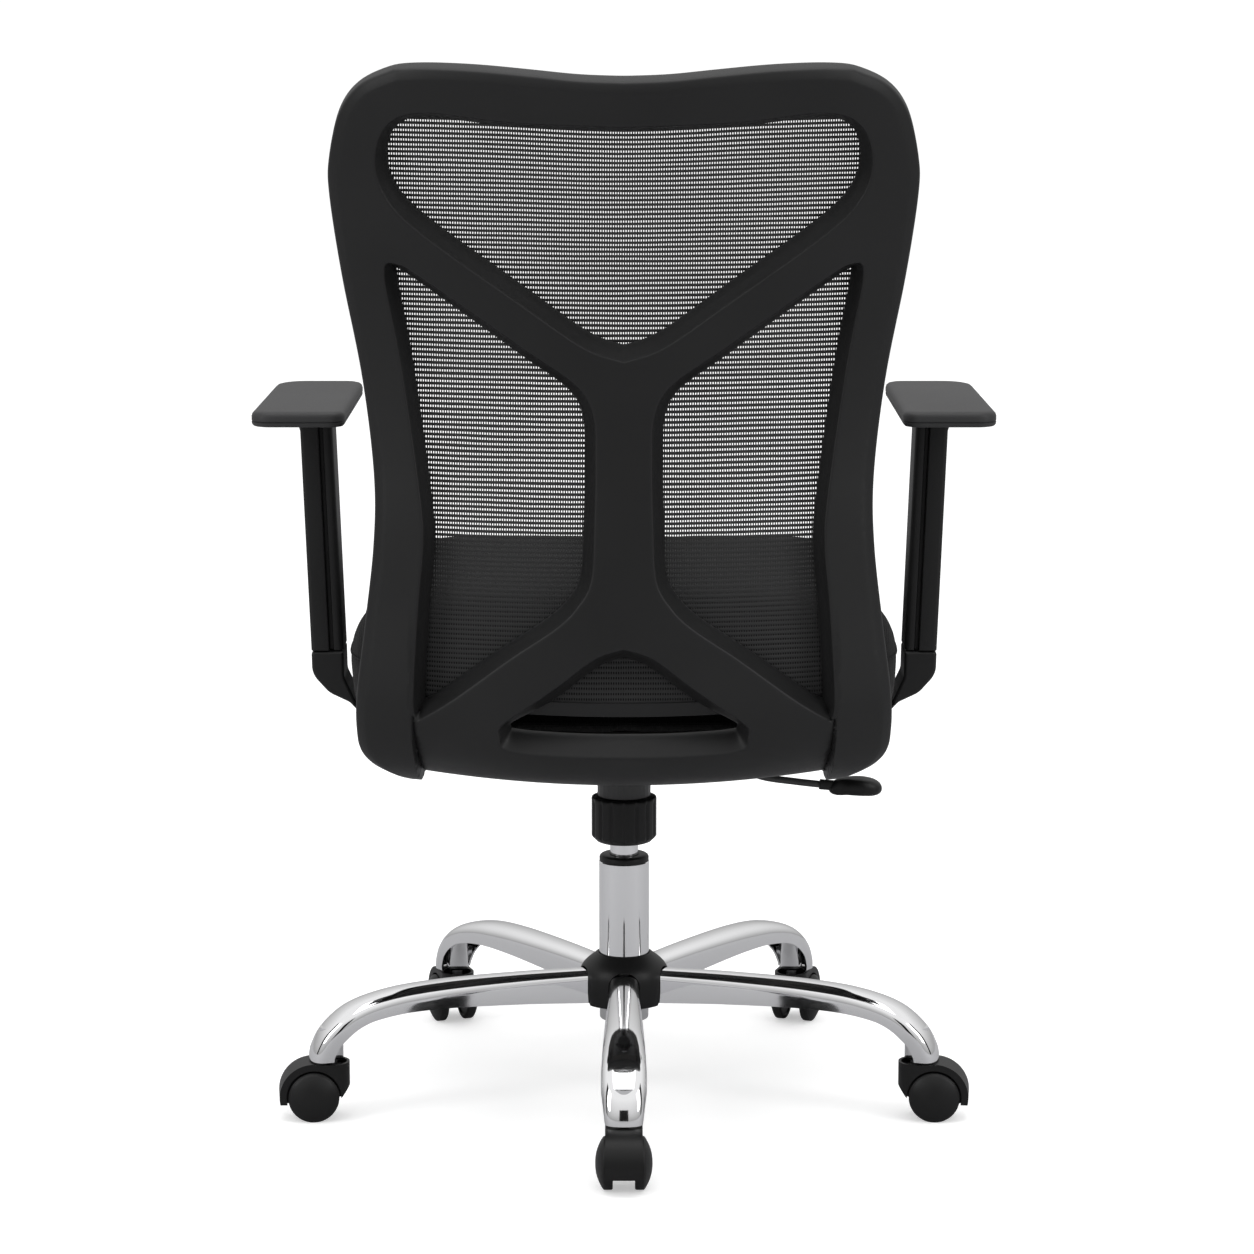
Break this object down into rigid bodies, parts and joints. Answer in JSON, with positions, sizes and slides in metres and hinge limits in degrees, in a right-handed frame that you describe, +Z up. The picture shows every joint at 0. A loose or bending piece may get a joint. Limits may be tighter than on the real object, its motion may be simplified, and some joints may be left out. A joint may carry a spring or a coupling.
{
  "type": "swivel office chair",
  "caption": "Mid-back swivel office chair with a moulded back frame, stretched mesh, padded seat, T arms, gas lift, tilt mechanism and a chromed five-leg base on twin-wheel casters.",
  "frame": {"origin": "on the floor, below the middle of the chair's bounding box; the column's axis is at X = 0, Y = -0.0274 m", "axes": "+Z up, the sitter faces -Y, the sitter's right is -X"},
  "size_m": [0.709, 0.653, 1.038],
  "materials": {
    "black_plastic": "fine moulded texture",
    "pad_plastic": "soft grained",
    "wheel_plastic": "satin",
    "chrome": "polished",
    "steel": "plain",
    "black_steel": "satin powder coat",
    "plywood": "black stained",
    "seat_fabric": "woven",
    "mesh_fabric": "open knit"
  },
  "bodies": {
    "base": {"hub_cover": "black_plastic", "hub_socket": "steel", "leg_1": "chrome", "leg_2": "chrome", "leg_3": "chrome", "leg_4": "chrome", "leg_5": "chrome", "lift_column": "chrome", "lift_guide_ring": "black_plastic"},
    "spindle": {"lift_piston_rod": "steel", "lift_thrust_bearing": "steel"},
    "lift": {"lift_pressure_tube": "chrome", "mechanism_housing": "black_steel", "tilt_pin": "steel", "tension_spring": "steel"},
    "release_pin": {"release_pin": "steel"},
    "lever_pivot": {"lever_pivot": "black_plastic"},
    "lever": {"lever_rod": "black_steel", "lever_paddle": "black_plastic"},
    "knob": {"tension_knob": "black_plastic", "tension_bolt": "steel"},
    "spring_seat": {"spring_seat": "steel"},
    "seat": {"tilt_plate": "black_steel", "seat_pan": "plywood", "seat_cushion": "seat_fabric", "back_frame": "black_plastic", "mesh_ring": "black_plastic", "mesh_panel": "mesh_fabric", "arm_bracket_left": "black_plastic", "arm_post_left": "black_plastic", "arm_pad_left": "pad_plastic", "arm_bracket_right": "black_plastic", "arm_post_right": "black_plastic", "arm_pad_right": "pad_plastic"},
    "caster_1": {"caster_1_hood": "black_plastic", "caster_1_stem": "steel", "caster_1_axle": "steel"},
    "caster_1_wheel_a": {"caster_1_wheel_a": "wheel_plastic"},
    "caster_1_wheel_b": {"caster_1_wheel_b": "wheel_plastic"},
    "caster_2": {"caster_2_hood": "black_plastic", "caster_2_stem": "steel", "caster_2_axle": "steel"},
    "caster_2_wheel_a": {"caster_2_wheel_a": "wheel_plastic"},
    "caster_2_wheel_b": {"caster_2_wheel_b": "wheel_plastic"},
    "caster_3": {"caster_3_hood": "black_plastic", "caster_3_stem": "steel", "caster_3_axle": "steel"},
    "caster_3_wheel_a": {"caster_3_wheel_a": "wheel_plastic"},
    "caster_3_wheel_b": {"caster_3_wheel_b": "wheel_plastic"},
    "caster_4": {"caster_4_hood": "black_plastic", "caster_4_stem": "steel", "caster_4_axle": "steel"},
    "caster_4_wheel_a": {"caster_4_wheel_a": "wheel_plastic"},
    "caster_4_wheel_b": {"caster_4_wheel_b": "wheel_plastic"},
    "caster_5": {"caster_5_hood": "black_plastic", "caster_5_stem": "steel", "caster_5_axle": "steel"},
    "caster_5_wheel_a": {"caster_5_wheel_a": "wheel_plastic"},
    "caster_5_wheel_b": {"caster_5_wheel_b": "wheel_plastic"}
  },
  "joints": [
    {"name": "seat_swivel", "type": "hinge", "parent": "base", "child": "spindle", "pos_m": [0, -0.02741, 0.15], "axis": [0, 0, 1], "continuous": true},
    {"name": "seat_height", "type": "slide", "parent": "spindle", "child": "lift", "axis": [0, 0, 1], "range_m": [-0.05, 0.045]},
    {"name": "recline", "type": "hinge", "parent": "lift", "child": "seat", "pos_m": [0, -0.06241, 0.358], "axis": [-1, 0, 0], "range_deg": [0, 15], "stiffness_Nm_per_rad": 150, "springref_deg": -20.05, "deforming": ["tension_spring"]},
    {"name": "height_release", "type": "hinge", "parent": "lift", "child": "lever_pivot", "pos_m": [-0.044, -0.02141, 0.348], "axis": [0, 1, 0], "range_deg": [0, 4], "stiffness_Nm_per_rad": 12, "springref_deg": -5.73},
    {"name": "tilt_lock", "type": "slide", "parent": "lever_pivot", "child": "lever", "axis": [-1, 0, 0], "range_m": [0, 0.012]},
    {"name": "release_press", "type": "slide", "parent": "lift", "child": "release_pin", "axis": [0, 0, -1], "range_m": [0, 0.0034], "stiffness_N_per_m": 400, "springref_m": -0.002},
    {"name": "tension_turn", "type": "hinge", "parent": "lift", "child": "knob", "pos_m": [0, 0.0346, 0.295], "axis": [0, 0, 1], "range_deg": [-1080, 1080]},
    {"name": "tension_travel", "type": "slide", "parent": "lift", "child": "spring_seat", "axis": [0, 0, 1], "range_m": [-0.006, 0.006]},
    {"name": "caster_1_swivel", "type": "hinge", "parent": "base", "child": "caster_1", "pos_m": [0, 0.2746, 0.06], "axis": [0, 0, 1], "continuous": true},
    {"name": "caster_1_roll_a", "type": "hinge", "parent": "caster_1", "child": "caster_1_wheel_a", "pos_m": [0, 0.2931, 0.02469], "axis": [-1, 0, 0], "continuous": true},
    {"name": "caster_1_roll_b", "type": "hinge", "parent": "caster_1", "child": "caster_1_wheel_b", "pos_m": [0, 0.2931, 0.02469], "axis": [-1, 0, 0], "continuous": true},
    {"name": "caster_2_swivel", "type": "hinge", "parent": "base", "child": "caster_2", "pos_m": [-0.28722, 0.06592, 0.06], "axis": [0, 0, 1], "continuous": true},
    {"name": "caster_2_roll_a", "type": "hinge", "parent": "caster_2", "child": "caster_2_wheel_a", "pos_m": [-0.30563, 0.06769, 0.02469], "axis": [-0.0958, -0.9954, 0], "continuous": true},
    {"name": "caster_2_roll_b", "type": "hinge", "parent": "caster_2", "child": "caster_2_wheel_b", "pos_m": [-0.30563, 0.06769, 0.02469], "axis": [-0.0958, -0.9954, 0], "continuous": true},
    {"name": "caster_3_swivel", "type": "hinge", "parent": "base", "child": "caster_3", "pos_m": [-0.17751, -0.27173, 0.06], "axis": [0, 0, 1], "continuous": true},
    {"name": "caster_3_roll_a", "type": "hinge", "parent": "caster_3", "child": "caster_3_wheel_a", "pos_m": [-0.18353, -0.28922, 0.02469], "axis": [0.9455, -0.3256, 0], "continuous": true},
    {"name": "caster_3_roll_b", "type": "hinge", "parent": "caster_3", "child": "caster_3_wheel_b", "pos_m": [-0.18353, -0.28922, 0.02469], "axis": [0.9455, -0.3256, 0], "continuous": true},
    {"name": "caster_4_swivel", "type": "hinge", "parent": "base", "child": "caster_4", "pos_m": [0.17751, -0.27173, 0.06], "axis": [0, 0, 1], "continuous": true},
    {"name": "caster_4_roll_a", "type": "hinge", "parent": "caster_4", "child": "caster_4_wheel_a", "pos_m": [0.18353, -0.28922, 0.02469], "axis": [0.9455, 0.3256, 0], "continuous": true},
    {"name": "caster_4_roll_b", "type": "hinge", "parent": "caster_4", "child": "caster_4_wheel_b", "pos_m": [0.18353, -0.28922, 0.02469], "axis": [0.9455, 0.3256, 0], "continuous": true},
    {"name": "caster_5_swivel", "type": "hinge", "parent": "base", "child": "caster_5", "pos_m": [0.28722, 0.06592, 0.06], "axis": [0, 0, 1], "continuous": true},
    {"name": "caster_5_roll_a", "type": "hinge", "parent": "caster_5", "child": "caster_5_wheel_a", "pos_m": [0.30563, 0.06769, 0.02469], "axis": [-0.0958, 0.9954, 0], "continuous": true},
    {"name": "caster_5_roll_b", "type": "hinge", "parent": "caster_5", "child": "caster_5_wheel_b", "pos_m": [0.30563, 0.06769, 0.02469], "axis": [-0.0958, 0.9954, 0], "continuous": true}
  ],
  "couplings": [
    {"joint": "release_press", "follows": "height_release", "m_per_rad": 0.048},
    {"joint": "tension_travel", "follows": "tension_turn", "m_per_rad": 0.00031831}
  ]
}
